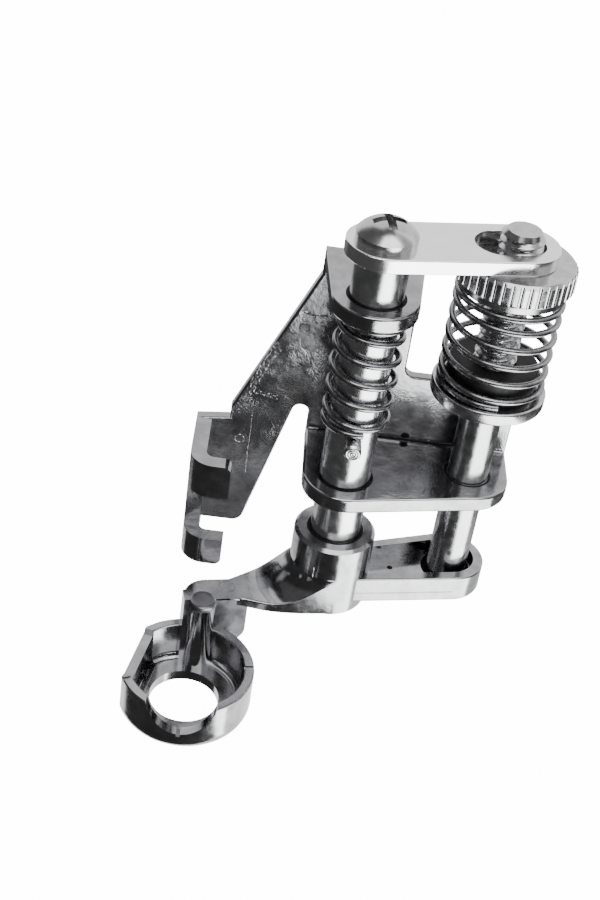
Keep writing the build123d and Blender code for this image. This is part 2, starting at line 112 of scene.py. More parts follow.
@dataclass(frozen=True)
class Wiring:
    """The nodes and links of one material or of the world, with the steps that they are put together from."""

    nodes: bpy.types.Nodes
    links: bpy.types.NodeLinks

    def map_range(self, value: bpy.types.NodeSocket, edges: Pair, levels: Pair = (0.0, 1.0),
                  smooth: bool = False) -> bpy.types.NodeSocket:
        """Adds a step that takes a value from two edges to two levels, and holds the levels past them.

        Args:
            value: the value that is read.
            edges: the values where the step starts and ends.
            levels: what it gives there.
            smooth: whether it eases in and out.

        Returns:
            The step's result.
        """
        step = self.nodes.new("ShaderNodeMapRange")
        step.interpolation_type = "SMOOTHSTEP" if smooth else "LINEAR"
        for name, limit in zip(("From Min", "From Max", "To Min", "To Max"), (*edges, *levels)):
            step.inputs[name].default_value = limit
        self.links.new(value, step.inputs["Value"])
        return step.outputs["Result"]

    def combine(self, operation: str, *values: bpy.types.NodeSocket | float) -> bpy.types.NodeSocket:
        """Adds one step of arithmetic.

        Args:
            operation: the name of the step.
            values: the sockets and numbers that it takes, in order.

        Returns:
            The step's result.
        """
        step = self.nodes.new("ShaderNodeMath")
        step.operation = operation
        for place, value in zip(step.inputs, values):
            if isinstance(value, bpy.types.NodeSocket):
                self.links.new(value, place)
            else:
                place.default_value = value
        return step.outputs["Value"]

    def vector(self, operation: str, value: bpy.types.NodeSocket,
               other: Triple = (0.0, 0.0, 0.0)) -> bpy.types.NodeOutputs:
        """Adds one step of arithmetic on a vector.

        Args:
            operation: the name of the step.
            value: the vector.
            other: the fixed vector that the step takes with it.

        Returns:
            The step's outputs.
        """
        step = self.nodes.new("ShaderNodeVectorMath")
        step.operation = operation
        step.inputs[1].default_value = other
        self.links.new(value, step.inputs[0])
        return step.outputs

    def axis(self, value: bpy.types.NodeSocket, name: str) -> bpy.types.NodeSocket:
        """Adds a step that takes one number out of a vector.

        Args:
            value: the vector.
            name: X, Y or Z.

        Returns:
            The number along that axis.
        """
        split = self.nodes.new("ShaderNodeSeparateXYZ")
        self.links.new(value, split.inputs["Vector"])
        return split.outputs[name]

    def noise(self, place: bpy.types.NodeSocket, size: float, detail: float) -> bpy.types.NodeSocket:
        """Adds a noise.

        Args:
            place: the coordinate that the noise reads.
            size: the size of its spots in millimetres, roughly.
            detail: the number of finer layers.

        Returns:
            The noise's value.
        """
        noise = self.nodes.new("ShaderNodeTexNoise")
        noise.inputs["Scale"].default_value = 1.0 / (size * MM)
        noise.inputs["Detail"].default_value = detail
        self.links.new(place, noise.inputs["Vector"])
        return noise.outputs["Fac"]


@dataclass(frozen=True)
class Finish:
    """One finish: colour, gloss and the fine relief under it.

    Sizes are in millimetres. Behind the depth as_cast_from the surface is rough, as it left the mould.
    """

    name: str
    slot: str
    grain: Grain
    light: Triple
    dark: Triple
    gloss: Pair
    patch: float
    pit: float
    relief: float
    metallic: float = 1.0
    shine: float = 0.5
    as_cast_from: float = math.inf

    def material(self) -> bpy.types.Material:
        """Makes the node material of this finish.

        Returns:
            The material, with colour, roughness and bump driven by Object coordinates.
        """
        made = bpy.data.materials.new(self.name)
        made.use_nodes = True
        nodes, links = made.node_tree.nodes, made.node_tree.links
        wiring = Wiring(nodes, links)
        shader = nodes["Principled BSDF"]
        shader.inputs["Metallic"].default_value = self.metallic
        shader.inputs["Specular IOR Level"].default_value = self.shine
        place = nodes.new("ShaderNodeTexCoord").outputs["Object"]
        patches = wiring.noise(place, self.patch, 5.0)
        tint = nodes.new("ShaderNodeValToRGB")
        for stop, position, colour in zip(tint.color_ramp.elements, TINT_EDGES, (self.dark, self.light)):
            stop.position = position
            stop.color = (*colour, 1.0)
        links.new(patches, tint.inputs["Fac"])
        links.new(tint.outputs["Color"], shader.inputs["Base Color"])
        gloss = wiring.map_range(patches, GLOSS_EDGES, self.gloss)
        if math.isfinite(self.as_cast_from):
            gloss = wiring.combine("MULTIPLY_ADD", self._as_cast(wiring, place), GRIT_ROUGHNESS, gloss)
        links.new(gloss, shader.inputs["Roughness"])
        bump = nodes.new("ShaderNodeBump")
        bump.inputs["Strength"].default_value = 1.0
        bump.inputs["Distance"].default_value = self.relief * MM
        links.new(self._relief(wiring, place), bump.inputs["Height"])
        links.new(bump.outputs["Normal"], shader.inputs["Normal"])
        return made

    def _as_cast(self, wiring: Wiring, place: bpy.types.NodeSocket) -> bpy.types.NodeSocket:
        """Adds a mask that is 1 where the surface is as it left the mould and 0 where it is polished.

        Args:
            wiring: the material's nodes.
            place: the coordinate whose depth is read.

        Returns:
            The mask.
        """
        edges = ((self.as_cast_from - GRIT_DEPTH) * MM, self.as_cast_from * MM)
        return wiring.map_range(wiring.axis(place, "Y"), edges)

    def _relief(self, wiring: Wiring, place: bpy.types.NodeSocket) -> bpy.types.NodeSocket:
        """Adds the height that the bump reads: pits and grit on a casting, fine rings or lines on the rest.

        Args:
            wiring: the material's nodes.
            place: the coordinate that the relief reads.

        Returns:
            The height.
        """
        if self.grain is not Grain.CAST:
            stretch = wiring.nodes.new("ShaderNodeMapping")
            stretch.inputs["Scale"].default_value = GRAIN_LINES[self.grain]
            wiring.links.new(place, stretch.inputs["Vector"])
            return wiring.noise(stretch.outputs["Vector"], self.pit, 2.0)
        pits = wiring.noise(place, self.pit, 3.0)
        if not math.isfinite(self.as_cast_from):
            return pits
        spread = wiring.noise(place, self.patch * GRIT_SPREAD, 3.0)
        raised = wiring.map_range(spread, GRIT_EDGES, (0.0, GRIT_HEIGHT))
        where = wiring.combine("MULTIPLY", raised, self._as_cast(wiring, place))
        return wiring.combine("MULTIPLY_ADD", wiring.noise(place, self.pit / GRIT_FINER, 2.0), where, pits)


BRACKET_CHROME = Finish("bracket_chrome", "cast_chrome", Grain.CAST, light=(0.36, 0.36, 0.37),
                        dark=(0.27, 0.27, 0.28), gloss=(0.11, 0.17), patch=1.6, pit=0.45, relief=0.010,
                        as_cast_from=16.85)
FOOT_CHROME = Finish("foot_chrome", "cast_chrome", Grain.CAST, light=(0.38, 0.38, 0.39),
                     dark=(0.27, 0.27, 0.28), gloss=(0.10, 0.20), patch=1.6, pit=0.60, relief=0.006)
FOOT_CAST = Finish("foot_cast", "cast_chrome", Grain.CAST, light=(0.22, 0.22, 0.23),
                   dark=(0.16, 0.16, 0.17), gloss=(0.28, 0.42), patch=1.2, pit=0.30, relief=0.006)
ROD_CHROME = Finish("rod_chrome", "polished_chrome", Grain.TURNED, light=(0.72, 0.72, 0.73),
                    dark=(0.58, 0.58, 0.59), gloss=(0.15, 0.27), patch=1.2, pit=0.10, relief=0.0014)
NUT_CHROME = Finish("nut_chrome", "polished_chrome", Grain.TURNED, light=(0.54, 0.54, 0.55),
                    dark=(0.42, 0.42, 0.43), gloss=(0.16, 0.26), patch=0.9, pit=0.10, relief=0.0014)
PLATE_CHROME = Finish("plate_chrome", "polished_chrome", Grain.ROLLED, light=(0.95, 0.95, 0.95),
                      dark=(0.88, 0.88, 0.88), gloss=(0.14, 0.24), patch=1.8, pit=0.12, relief=0.0025)
WIRE_STEEL = Finish("wire_steel", "spring_wire", Grain.DRAWN, light=(0.30, 0.30, 0.31),
                    dark=(0.21, 0.21, 0.22), gloss=(0.18, 0.30), patch=0.5, pit=0.15, relief=0.003)
RUBBER = Finish("bushing_rubber", "black_rubber", Grain.CAST, light=(0.012, 0.012, 0.012),
                dark=(0.006, 0.006, 0.006), gloss=(0.45, 0.6), patch=0.8, pit=0.2, relief=0.004,
                metallic=0.0, shine=0.35)
# Painted shade: near black and matt, laid as thin rings, a line and spots in gaps, a corner and dimples where
# shade falls.
PAINTED_SHADE = Finish("painted_gap_shade", "cast_chrome", Grain.CAST, light=(0.010, 0.010, 0.010),
             dark=(0.005, 0.005, 0.005), gloss=(0.5, 0.6), patch=0.4, pit=0.2, relief=0.002,
             metallic=0.0, shine=0.1)


@dataclass(frozen=True)
class Bead:
    """The cross-section of a raised line, in millimetres, and the largest random share of change."""

    width: float
    height: float
    rough: float = 0.0


def smoothstep(value: np.ndarray, low: float, high: float) -> np.ndarray:
    """Rises from 0 at low to 1 at high along 3t^2 - 2t^3.

    Args:
        value: where the step is read.
        low: where it starts.
        high: where it ends.

    Returns:
        The step's height at each value.
    """
    t = np.clip((value - low) / (high - low), 0.0, 1.0)
    return t * t * (3.0 - 2.0 * t)


def add_piece(name: str, points: np.ndarray, faces: list,
              material: bpy.types.Material) -> bpy.types.Object:
    """Puts a worked-out surface into the scene as one smooth mesh with sharp creases.

    Args:
        name: the piece's name.
        points: the vertices, in metres, one row each.
        faces: the vertex numbers of each face.
        material: that finish's material.

    Returns:
        The new object, at the origin.
    """
    mesh = bpy.data.meshes.new(name)
    mesh.from_pydata(points.tolist(), [], faces)
    mesh.polygons.foreach_set("use_smooth", np.ones(len(mesh.polygons), bool))
    mesh.set_sharp_from_angle(angle=math.radians(CREASE))
    mesh.materials.append(material)
    mesh.update()
    made = bpy.data.objects.new(name, mesh)
    bpy.context.scene.collection.objects.link(made)
    LOG.info("%s: %d faces", name, len(mesh.polygons))
    return made


def capped_tube(rings: np.ndarray, first: np.ndarray, last: np.ndarray) -> tuple[np.ndarray, list]:
    """Skins a row of closed rings and closes both ends on a single point.

    Point (i, j) is joined to (i + 1, j) and (i, j + 1), with j running round the ring, and each end ring is
    joined to its end point by a fan. The faces are turned outwards by the sign of the enclosed volume.

    Args:
        rings: an array of rings by points by 3.
        first: the point that closes the first ring.
        last: the point that closes the last ring.

    Returns:
        The vertices and the faces.
    """
    count, around = rings.shape[:2]
    points = np.vstack([rings.reshape(-1, 3), first, last])
    here = np.arange(count * around).reshape(count, around)
    beside = np.roll(here, -1, axis=1)
    quads = np.stack([here[:-1], beside[:-1], beside[1:], here[1:]], axis=-1).reshape(-1, 4)
    start = np.stack([beside[0], here[0], np.full(around, count * around)], axis=-1)
    end = np.stack([here[-1], beside[-1], np.full(around, count * around + 1)], axis=-1)
    corners = points[quads]
    volume = np.einsum("ij,ij->", corners[:, 0], np.cross(corners[:, 1], corners[:, 2]))
    volume += np.einsum("ij,ij->", corners[:, 0], np.cross(corners[:, 2], corners[:, 3]))
    turn = slice(None, None, -1) if volume < 0 else slice(None)
    faces = quads[:, turn].tolist() + start[:, turn].tolist() + end[:, turn].tolist()
    return points, faces


def grid_faces(rows: int, columns: int, closed: bool) -> np.ndarray:
    """Quads of a grid of points numbered row by row; in a closed one the last row runs on into the first.

    Args:
        rows: the number of rows.
        columns: the number of points in a row.
        closed: whether the rows go all the way round.

    Returns:
        An array of quads by 4.
    """
    here = np.arange(rows * columns).reshape(rows, columns)
    beyond = np.roll(here, -1, axis=0)
    quads = np.stack([here[:, :-1], beyond[:, :-1], beyond[:, 1:], here[:, 1:]], axis=-1)
    return (quads if closed else quads[:-1]).reshape(-1, 4)


def circle(centre: np.ndarray, out: np.ndarray, radius: float, count: int = 64) -> np.ndarray:
    """Points round a circle: centre + radius * (cosine, sine) of the angle along two cross directions.

    Args:
        centre: the middle, in millimetres.
        out: the unit direction that the circle goes round.
        radius: the radius in millimetres.
        count: the number of points.

    Returns:
        An array of points by 3.
    """
    start = np.cross(out, np.eye(3)[np.argmin(np.abs(out))])
    start /= np.linalg.norm(start)
    angle = np.linspace(0.0, math.tau, count, endpoint=False)[:, None]
    return centre + radius * (np.cos(angle) * start + np.sin(angle) * np.cross(out, start))


def even_path(path: np.ndarray, step: float) -> tuple[np.ndarray, np.ndarray]:
    """Points at even distances along a path, interpolated between its own points by the distance travelled.

    Args:
        path: the points that the path passes, in millimetres.
        step: the distance between two points, roughly.

    Returns:
        The distance travelled at each point, and the points.
    """
    run = np.concatenate([[0.0], np.cumsum(np.linalg.norm(np.diff(path, axis=0), axis=1))])
    even = np.linspace(0.0, run[-1], max(3, round(run[-1] / step)))
    return even, np.stack([np.interp(even, run, path[:, axis]) for axis in range(3)], axis=-1)


def strip(line: np.ndarray, out: np.ndarray, sideways: np.ndarray, lift: np.ndarray, closed: bool) -> Surface:
    """A strip along a line on a face: line + sideways * (out cross the line's direction) + lift * out.

    Args:
        line: the strip's middle line, in millimetres.
        out: the face's unit normal.
        sideways: how far each point across the strip is from its middle.
        lift: how far each point stands out of the face, in rows along the line.
        closed: whether the line goes all the way round.

    Returns:
        The vertices in millimetres and the faces.
    """
    step = np.roll(line, -1, axis=0) - np.roll(line, 1, axis=0) if closed else np.gradient(line, axis=0)
    side = np.cross(out, step / np.linalg.norm(step, axis=1, keepdims=True))
    points = line[:, None, :] + sideways[..., None] * side[:, None, :] + lift[..., None] * out
    return points.reshape(-1, 3), grid_faces(*lift.shape, closed)


def ridge(path: np.ndarray, out: np.ndarray, bead: Bead, closed: bool = False) -> Surface:
    """A low rounded ridge along a path on a face, with its two edges a little under the face.

    For s from -1 to 1 across it, a point is path + s * width / 2 sideways + height * cos(pi s / 2) out. The
    roughness multiplies width and height at each point of the path by 1 plus or minus a random share.

    Args:
        path: the points that the ridge passes, in millimetres.
        out: the face's unit normal.
        bead: the ridge's cross-section.
        closed: whether the path goes all the way round.

    Returns:
        The vertices in millimetres and the faces.
    """
    line = path if closed else even_path(path, BEAD_STEP)[1]
    across = np.linspace(-1.0, 1.0, BEAD_POINTS)
    share = 1.0 + bead.rough * np.random.default_rng(len(line)).uniform(-1.0, 1.0, (2, len(line), 1))
    rise = (1.0 + BEAD_SUNK) * bead.height * share[1] * np.cos(across * math.pi / 2)
    return strip(line, out, across * bead.width / 2 * share[0], rise - BEAD_SUNK * bead.height, closed)


def spot(centre: np.ndarray, out: np.ndarray, radius: float, height: float) -> Surface:
    """A low round dome on a face, whose height falls off with the square of the distance from its middle.

    Args:
        centre: the middle, in millimetres.
        out: the face's unit normal.
        radius: the dome's radius in millimetres.
        height: the height of its middle in millimetres.

    Returns:
        The vertices in millimetres and the faces.
    """
    share = np.linspace(1.0, SPOT_MIDDLE, SPOT_RINGS)[None, :, None]
    rim = circle(centre, out, radius, SPOT_POINTS)[:, None, :]
    points = centre + share * (rim - centre) + (1.0 - share ** 2) * height * out
    return points.reshape(-1, 3), grid_faces(SPOT_POINTS, SPOT_RINGS, True)


def crust(path: np.ndarray, out: np.ndarray, bead: Bead) -> Surface:
    """A strip of rough casting skin along a path, most of it just under the face and its lumps proud.

    For u along the path and v from -1 to 1 across it, the lift is height times (1 - v^2) times a sum of
    seeded cosine waves in u and v, less a share of the height.

    Args:
        path: the points that the strip passes, in millimetres.
        out: the face's unit normal.
        bead: the strip's width and the height of its lumps.

    Returns:
        The vertices in millimetres and the faces.
    """
    even, line = even_path(path, SKIN_STEP)
    across = np.linspace(-1.0, 1.0, round(bead.width / SKIN_STEP))
    sideways = across * bead.width / 2
    draw = np.random.default_rng(len(even))
    turn, phase = draw.uniform(0.0, math.tau, (2, SKIN_WAVES))
    beat = math.tau / draw.uniform(*SKIN_LENGTHS, SKIN_WAVES)
    place = even[:, None, None] * np.cos(turn) + sideways[None, :, None] * np.sin(turn)
    lumps = np.cos(beat * place + phase).sum(axis=-1) / math.sqrt(SKIN_WAVES)
    return strip(line, out, sideways, bead.height * ((1.0 - across ** 2) * lumps - SKIN_SUNK), False)


def merged(parts: list[Surface]) -> tuple[np.ndarray, list]:
    """Puts several surfaces into one list of vertices and faces.

    Args:
        parts: the surfaces' vertices in millimetres and faces.

    Returns:
        All vertices in metres, and all faces.
    """
    starts = np.cumsum([0] + [len(points) for points, _ in parts[:-1]])
    faces = [quads + start for (_, quads), start in zip(parts, starts)]
    return np.vstack([points for points, _ in parts]) * MM, np.vstack(faces).tolist()


def middle_of(node: str) -> np.ndarray:
    """The middle of a solid's box in plan, with a height of zero, in millimetres."""
    low, high = (np.array(corner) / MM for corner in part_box(node))
    return (low + high) / 2 * np.array([1.0, 1.0, 0.0])


@dataclass
class Bracket:
    """The die-cast bracket: casting lines, rough skin and ejector marks on its plate, and painted shade in
    its gaps and corners.

    Sizes are in millimetres; a point on the plate is its X and Z.
    """

    plate_front: float = 16.9
    shelf_top: float = 22.0
    ear_top: float = 41.3
    rod_radius: float = 2.4
    stud_radius: float = 1.95
    ejector_marks: tuple[Pair, ...] = ((6.87, 33.14), (8.08, 34.21), (2.17, 19.73))
    ejector_radius: float = 0.45
    ejector_bead: Bead = Bead(width=0.14, height=0.05)
    parting_line: tuple[Pair, ...] = ((6.30, 34.95), (6.84, 34.78), (7.46, 34.55), (8.87, 34.68))
    parting_bead: Bead = Bead(width=0.24, height=0.10, rough=0.9)
    crease: tuple[Pair, ...] = ((3.03, 24.30), (3.13, 20.74), (3.06, 18.62), (3.16, 15.79))
    crease_bead: Bead = Bead(width=0.12, height=0.05, rough=0.6)
    short_crease: tuple[Pair, ...] = ((8.64, 33.54), (8.53, 31.54), (8.48, 30.44))
    short_bead: Bead = Bead(width=0.10, height=0.03, rough=0.3)
    edge_skin: tuple[Pair, ...] = ((2.35, 24.2), (2.65, 25.4), (3.15, 27.1), (3.75, 28.5), (4.9, 31.1))
    edge_bead: Bead = Bead(width=0.9, height=0.04)
    cross_skin: tuple[Pair, ...] = ((3.0, 25.4), (4.1, 25.2), (5.3, 25.0))
    cross_bead: Bead = Bead(width=0.7, height=0.03)
    # Painted shade: dark rings in the gaps round the rods and the stud, and a dark line along the shelf's
    # root.
    shade_bead: Bead = Bead(width=0.26, height=0.03)
    shade_gap: float = 0.03
    root_line: tuple[Triple, ...] = ((9.6, 16.77, 22.13), (26.6, 16.77, 22.13))
    root_normal: Triple = (0.0, -0.707, 0.707)
    root_bead: Bead = Bead(width=0.36, height=0.03)
    # A dark spot of painted shade in the dimple.
    dimple: Pair = (18.0, 22.46)
    dimple_radius: float = 0.42
    dimple_height: float = 0.04

    def on_plate(self, points: tuple[Pair, ...]) -> np.ndarray:
        """Turns X and Z on the plate's front into points in space.

        Args:
            points: the X and Z of each point.

        Returns:
            An array of points by 3.
        """
        flat = np.array(points)
        return np.stack([flat[:, 0], np.full(len(flat), self.plate_front), flat[:, 1]], axis=-1)

    def build_marks(self, material: bpy.types.Material) -> bpy.types.Object:
        """Builds the round ejector marks, the casting lines and the rough skin.

        Args:
            material: the casting's material.

        Returns:
            The marks.
        """
        lines = ((self.parting_line, self.parting_bead), (self.crease, self.crease_bead),
                 (self.short_crease, self.short_bead))
        skins = ((self.edge_skin, self.edge_bead), (self.cross_skin, self.cross_bead))
        parts = [ridge(circle(centre, FRONT, self.ejector_radius), FRONT, self.ejector_bead, closed=True)
                 for centre in self.on_plate(self.ejector_marks)]
        parts += [ridge(self.on_plate(line), FRONT, bead) for line, bead in lines]
        parts += [crust(self.on_plate(line), FRONT, bead) for line, bead in skins]
        points, faces = merged(parts)
        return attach(add_piece("bracket_marks", points, faces, material), "bracket")

    def build_painted_shade(self, material: bpy.types.Material) -> bpy.types.Object:
        """Builds painted shade: dark rings round the rods, a line in the shelf's corner and a spot in its
        dimple.

        Args:
            material: the material of the painted shade.

        Returns:
            The painted shade.
        """
        rod, stud = middle_of("presser_rod"), middle_of("height_stud")
        reach = self.shade_bead.width / 2 + self.shade_gap
        rings = [(rod + UP * self.shelf_top, self.rod_radius), (rod + UP * self.ear_top, self.rod_radius),
                 (stud + UP * self.shelf_top, self.stud_radius)]
        parts = [ridge(circle(centre, UP, radius + reach, SHADE_RING_POINTS), UP, self.shade_bead, closed=True)
                 for centre, radius in rings]
        parts.append(ridge(np.array(self.root_line), np.array(self.root_normal), self.root_bead))
        parts.append(spot(self.on_plate((self.dimple,))[0], FRONT, self.dimple_radius, self.dimple_height))
        points, faces = merged(parts)
        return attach(add_piece("bracket_painted_shade", points, faces, material), "bracket")


@dataclass
class Foot:
    """The cast foot: the hollow root of its flat arm, its post's skin and cap, seams, small marks and painted
    shade.

    Sizes are in millimetres. The arm, the post's wall and its column are given in the foot's own frame, whose
    axis is the rod's and which is turned by rod_line_angle, in degrees.
    """

    hub_top: float = 15.75
    hub_radius: float = 3.9
    # Painted shade: dark rings in the hub's mouth and round the stud on the guide's floor.
    mouth_depth: float = 0.06
    mouth_radius: float = 2.64
    mouth_bead: Bead = Bead(width=0.42, height=0.03)
    guide_floor: float = 9.55
    guide_radius: float = 2.22
    guide_bead: Bead = Bead(width=0.62, height=0.03)
    guide_normal: Pair = (0.2047, -0.9788)
    guide_line: tuple[Triple, ...] = ((15.1, 7.315, 10.1), (24.6, 9.301, 10.1))
    guide_line_bead: Bead = Bead(width=0.16, height=0.05, rough=0.15)
    arm_mark: Triple = (2.9, 7.3, 9.05)
    arm_mark_radius: float = 0.75
    arm_mark_bead: Bead = Bead(width=0.12, height=0.015)
    # A dark spot of painted shade in the dimple of the guide arm's floor.
    floor_dimple_shade: Triple = (18.45, 11.70, 10.20)
    floor_dimple_shade_radius: float = 0.28
    floor_dimple_shade_height: float = 0.03
    hub_line: Pair = (-0.42, -0.91)
    hub_line_heights: Pair = (11.4, 13.4)
    hub_line_bead: Bead = Bead(width=0.12, height=0.03, rough=0.5)
    rod_line_angle: float = 13.0
    arm_bottom: float = 8.0
    arm_top: float = 9.05
    arm_front: tuple[Pair, ...] = ((0.0, -3.9), (-7.4, -3.9), (-7.4, -2.374), (-9.557, -2.374))
    arm_back: tuple[Pair, ...] = ((-9.557, 0.576), (-3.2, 3.7), (0.0, 3.9))
    side_points: int = 200
    flare_radius: float = 3.2
    flare_edge: float = 0.16
    flare_rows: int = 161
    flare_columns: int = 24
    edge_steps: int = 6
    least_reach: float = 0.004
    wall_foot: float = 0.22
    sunk_depth: float = 0.08
    sunk_width: float = 0.6
    tuck_in: float = 0.05
    tuck_up: float = 0.1
    proud: float = 0.015
    web_left: float = -11.35
    web_right: float = -8.06
    web_front: float = -2.374
    web_low: float = 3.65
    web_high: float = 8.86
    web_corner: float = 1.5
    web_rows: int = 40
    web_columns: int = 24
    column: Pair = (-12.507, -2.374)
    cap_points: int = 64
    cap_profile: tuple[Pair, ...] = ((1.31, 8.50), (1.31, 8.80), (1.29, 8.92), (1.22, 9.02),
                                     (1.12, 9.08), (0.95, 9.10), (0.50, 9.11), (0.01, 9.11))

    def from_rod_frame(self, points: np.ndarray) -> np.ndarray:
        """Turns points of the foot's own frame into the shared frame.

        Args:
            points: the points, in millimetres.

        Returns:
            The same points in the shared frame, in millimetres.
        """
        turn = math.radians(self.rod_line_angle)
        cosine, sine = math.cos(turn), math.sin(turn)
        spin = np.array([[cosine, sine, 0.0], [-sine, cosine, 0.0], [0.0, 0.0, 1.0]])
        return points @ spin + middle_of("presser_rod")

    def arm_reach(self, bearing: np.ndarray) -> np.ndarray:
        """The distance from the rod's axis to the flat arm's side.

        The side is a Bezier curve in front and two straight lines behind.

        Args:
            bearing: the directions in the foot's own frame, from pi / 2 behind to 3 pi / 2 in front.

        Returns:
            The distance along each bearing, in millimetres.
        """
        t = np.linspace(1.0, 0.0, self.side_points)[:, None]
        one, two, three, four = (np.array(point) for point in self.arm_front)
        front = one * (1 - t) ** 3 + 3 * two * t * (1 - t) ** 2 + 3 * three * t * t * (1 - t) + four * t ** 3
        corners = np.array(self.arm_back)[::-1]
        share = np.linspace(0.0, 2.0, self.side_points)
        back = np.stack([np.interp(share, (0, 1, 2), corners[:, axis]) for axis in (0, 1)], axis=-1)
        side = np.vstack([back, front])
        return np.interp(bearing, np.arctan2(side[:, 1], side[:, 0]) % math.tau, np.linalg.norm(side, axis=1))

    def build_flare(self, material: bpy.types.Material) -> bpy.types.Object:
        """Builds the wide hollow root where the flat arm runs up into the hub.

        At a distance d from the hub the hollow is R - sqrt(R^2 - (R - d)^2) above the arm, for a radius R.
        Where the arm's side cuts it, the edge turns over a quarter circle and goes straight down. That wall
        stands a little proud of the arm's side, and sinks into it where the hollow ends.

        Args:
            material: the casting's material.

        Returns:
            The root.
        """
        bearing = np.linspace(0.5 * math.pi, 1.5 * math.pi, self.flare_rows)[:, None]
        reach = np.clip(self.arm_reach(bearing) - self.hub_radius, self.least_reach, self.flare_radius)
        edge = np.minimum(self.flare_edge, reach / 3.0)
        out = np.linspace(0.0, 1.0, self.flare_columns) * (reach - edge)
        rise = self.flare_radius - np.sqrt(self.flare_radius ** 2 - (self.flare_radius - out) ** 2)
        over = np.linspace(0.0, 0.5 * math.pi, self.edge_steps)[1:]
        turned = out[:, -1:] + edge * np.sin(over)
        fallen = np.maximum(rise[:, -1:] - edge * (1.0 - np.cos(over)), -self.tuck_in)
        foot = np.full_like(bearing, self.arm_bottom + self.wall_foot - self.arm_top)
        sunk = smoothstep(reach, self.flare_radius - self.sunk_width, self.flare_radius)
        stand = self.proud - self.sunk_depth * sunk
        distance = np.hstack([out[:, :1] - self.tuck_in, out, turned + stand, turned[:, -1:] + stand])
        distance += self.hub_radius
        height = np.hstack([rise[:, :1] + self.tuck_up, rise, fallen, foot]) + self.arm_top
        points = np.stack([distance * np.cos(bearing), distance * np.sin(bearing), height], axis=-1)
        faces = grid_faces(*height.shape, False).tolist()
        points = self.from_rod_frame(points.reshape(-1, 3)) * MM
        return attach(add_piece("arm_flare", points, faces, material), "foot")

    def build_post(self, material: bpy.types.Material) -> bpy.types.Object:
        """Builds the rough skin on the front of the post's wall and the rounded cap of its column.

        The skin is the wall's face as a function of width and height, rounded off at its low outer corner.
        The cap is a profile of radius and height carried round the column's axis.

        Args:
            material: the material of a casting that is not polished.

        Returns:
            The skin and the cap.
        """
        up = np.linspace(self.web_low, self.web_high, self.web_rows)[:, None]
        drop = np.clip(self.web_corner - (up - self.web_low), 0.0, self.web_corner)
        right = self.web_right - self.web_corner + np.sqrt(self.web_corner ** 2 - drop ** 2)
        across = self.web_left + (right - self.web_left) * np.linspace(0.0, 1.0, self.web_columns)
        depth = np.full_like(across, self.web_front - self.proud)
        skin = np.stack([across, depth, np.broadcast_to(up, across.shape)], axis=-1)
        angle = np.linspace(0.0, math.tau, self.cap_points, endpoint=False)[:, None]
        radius, height = np.array(self.cap_profile).T
        size = (self.cap_points, len(height))
        cap = np.stack([self.column[0] + radius * np.cos(angle), self.column[1] + radius * np.sin(angle),
                        np.broadcast_to(height, size)], axis=-1)
        parts = [(self.from_rod_frame(skin.reshape(-1, 3)), grid_faces(*across.shape, False)[:, ::-1]),
                 (self.from_rod_frame(cap.reshape(-1, 3)), grid_faces(*size, True))]
        points, faces = merged(parts)
        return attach(add_piece("post_skin", points, faces, material), "foot")

    def build_marks(self, material: bpy.types.Material) -> bpy.types.Object:
        """Builds the seam along the guide arm, the round mark on the flat arm and the hub's short seam.

        Args:
            material: the casting's material.

        Returns:
            The marks.
        """
        mark = circle(np.array(self.arm_mark), UP, self.arm_mark_radius)
        side = np.array([*self.hub_line, 0.0]) / np.linalg.norm(self.hub_line)
        seam = middle_of("presser_rod") + self.hub_radius * side
        hub_path = np.stack([seam + UP * height for height in self.hub_line_heights])
        parts = [ridge(np.array(self.guide_line), np.array([*self.guide_normal, 0.0]), self.guide_line_bead),
                 ridge(mark, UP, self.arm_mark_bead, closed=True),
                 ridge(hub_path, side, self.hub_line_bead)]
        points, faces = merged(parts)
        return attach(add_piece("foot_marks", points, faces, material), "foot")

    def build_painted_shade(self, material: bpy.types.Material) -> bpy.types.Object:
        """Builds painted shade: dark rings in the hub's mouth and round the stud, and a spot in the floor's
        dimple.

        Args:
            material: the material of the painted shade.

        Returns:
            The painted shade.
        """
        mouth = middle_of("presser_rod") + UP * (self.hub_top - self.mouth_depth)
        guide = middle_of("height_stud") + UP * self.guide_floor
        rings = ((mouth, self.mouth_radius, self.mouth_bead), (guide, self.guide_radius, self.guide_bead))
        parts = [ridge(circle(centre, UP, radius, SHADE_RING_POINTS), UP, bead, closed=True)
                 for centre, radius, bead in rings]
        parts.append(spot(np.array(self.floor_dimple_shade), UP, self.floor_dimple_shade_radius, self.floor_dimple_shade_height))
        points, faces = merged(parts)
        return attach(add_piece("foot_painted_shade", points, faces, material), "foot")


